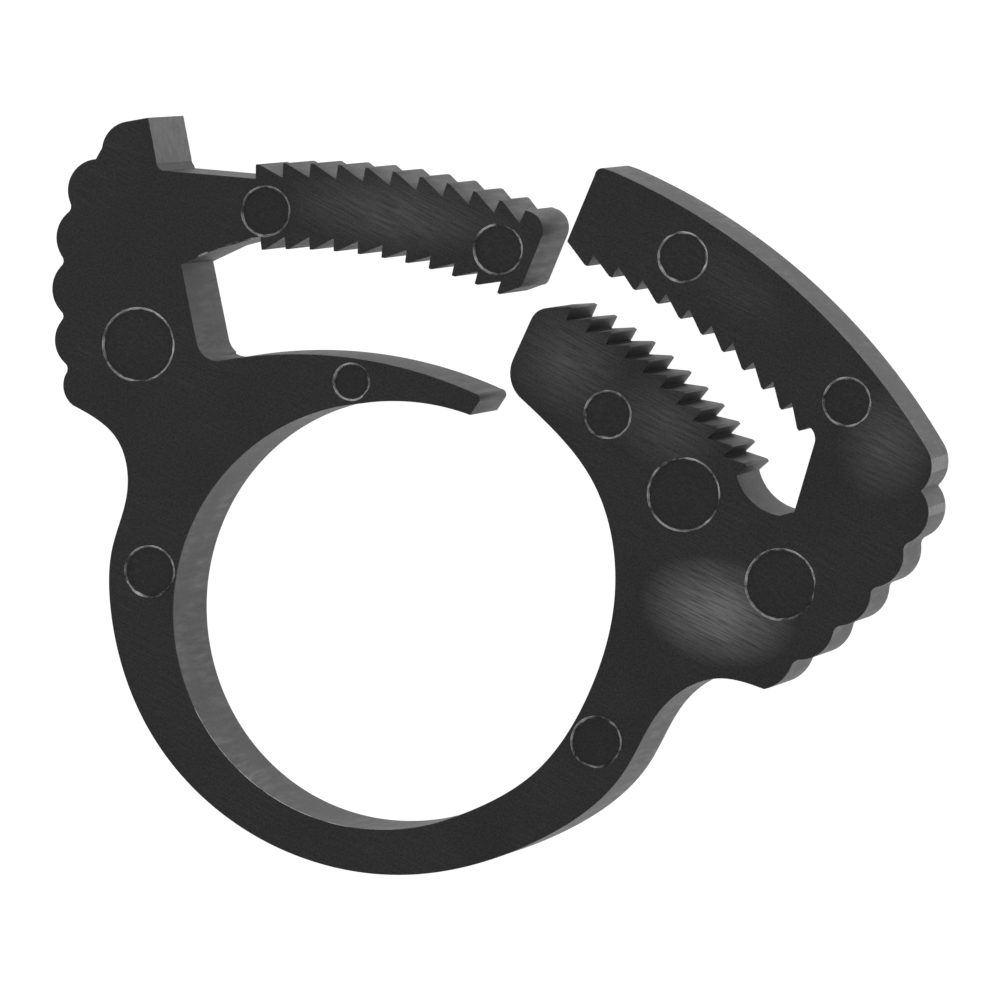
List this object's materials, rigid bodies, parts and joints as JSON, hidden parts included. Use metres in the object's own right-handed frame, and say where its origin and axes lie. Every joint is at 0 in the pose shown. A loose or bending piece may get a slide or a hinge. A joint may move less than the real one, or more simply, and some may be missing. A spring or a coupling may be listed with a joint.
{
  "type": "ratchet hose clamp",
  "caption": "Moulded plastic hose clamp, open: a springy ring with a toothed tongue on one end that ratchets into a toothed fork on the other.",
  "frame": {"origin": "centre of the bore on the underside of the clamp, which lies flat", "axes": "+Z along the bore axis, up from the underside; +X from the tongue to the fork; +Y from the ring to the heads"},
  "size_m": [0.0638, 0.0534, 0.008],
  "materials": {
    "nylon_body": "moulded satin",
    "nylon_band": "moulded satin",
    "nylon_teeth": "moulded satin, crisp edges",
    "nylon_grip": "moulded satin, scalloped"
  },
  "bodies": {
    "fork_side": {"fork_head": "nylon_body", "finger_grip_right": "nylon_grip", "band_shoulder_right": "nylon_band"},
    "inner_jaw": {"inner_jaw": "nylon_body", "inner_jaw_teeth": "nylon_teeth"},
    "outer_jaw_root": {"outer_jaw_root": "nylon_body"},
    "outer_jaw": {"outer_jaw": "nylon_body", "outer_jaw_teeth": "nylon_teeth"},
    "band_link_3": {"band_link_3": "nylon_band"},
    "band_link_2": {"band_link_2": "nylon_band"},
    "band_link_1": {"band_link_1": "nylon_band"},
    "tongue_head": {"tongue_head": "nylon_body", "finger_grip_left": "nylon_grip", "band_shoulder_left": "nylon_band"},
    "tongue": {"tongue": "nylon_body", "tongue_outer_teeth": "nylon_teeth", "tongue_inner_teeth": "nylon_teeth"},
    "lip_middle": {"lip_middle": "nylon_band"},
    "lip_tip": {"lip_tip": "nylon_band"}
  },
  "joints": [
    {"name": "band_flex_300", "type": "hinge", "parent": "fork_side", "child": "band_link_3", "pos_m": [0.00835, -0.01446, 0.004], "axis": [0, 0, -1], "range_deg": [-5.61, 8.1]},
    {"name": "release_twist", "type": "hinge", "parent": "band_link_3", "child": "band_link_2", "pos_m": [0, -0.0167, 0.004], "axis": [1, 0, 0], "range_deg": [-17, 17], "stiffness_Nm_per_rad": 0.4},
    {"name": "clamp_close", "type": "hinge", "parent": "band_link_2", "child": "band_link_1", "pos_m": [-0.00706, -0.01514, 0.004], "axis": [0, 0, -1], "range_deg": [-8.89, 12.84], "stiffness_Nm_per_rad": 0.04, "deforming": ["outer_jaw_teeth", "inner_jaw_teeth"]},
    {"name": "band_flex_210", "type": "hinge", "parent": "band_link_1", "child": "tongue_head", "pos_m": [-0.01446, -0.00835, 0.004], "axis": [0, 0, -1], "range_deg": [-5.52, 7.97]},
    {"name": "tongue_flex", "type": "hinge", "parent": "tongue_head", "child": "tongue", "pos_m": [-0.0105, 0.0287, 0.004], "axis": [0, 0, 1], "range_deg": [-1.6, 2.31]},
    {"name": "lip_middle_flex", "type": "hinge", "parent": "tongue_head", "child": "lip_middle", "pos_m": [-0.00799, 0.01568, 0.004], "axis": [0, 0, -1], "range_deg": [-8.59, 12.41]},
    {"name": "lip_tip_flex", "type": "hinge", "parent": "lip_middle", "child": "lip_tip", "pos_m": [-0.00204, 0.01658, 0.004], "axis": [0, 0, -1], "range_deg": [-2.36, 3.41]},
    {"name": "inner_jaw_flex", "type": "hinge", "parent": "fork_side", "child": "inner_jaw", "pos_m": [0.02185, 0.0058, 0.004], "axis": [0, 0, 1], "range_deg": [-0.84, 1.21]},
    {"name": "outer_jaw_flex", "type": "hinge", "parent": "fork_side", "child": "outer_jaw_root", "pos_m": [0.03515, 0.01, 0.004], "axis": [0, 0, -1], "range_deg": [-4.16, 6.01]},
    {"name": "outer_jaw_snap", "type": "hinge", "parent": "outer_jaw_root", "child": "outer_jaw", "pos_m": [0.03515, 0.013, 0.004], "axis": [0, 0, -1], "range_deg": [0, 6], "stiffness_Nm_per_rad": 0.05}
  ],
  "couplings": [
    {"joint": "band_flex_300", "follows": "clamp_close", "ratio": 0.63},
    {"joint": "band_flex_210", "follows": "clamp_close", "ratio": 0.62},
    {"joint": "tongue_flex", "follows": "clamp_close", "ratio": 0.17907},
    {"joint": "lip_middle_flex", "follows": "clamp_close", "ratio": 0.9654},
    {"joint": "lip_tip_flex", "follows": "clamp_close", "ratio": 0.26471},
    {"joint": "inner_jaw_flex", "follows": "clamp_close", "ratio": 0.093426},
    {"joint": "outer_jaw_flex", "follows": "clamp_close", "ratio": 0.46713}
  ]
}
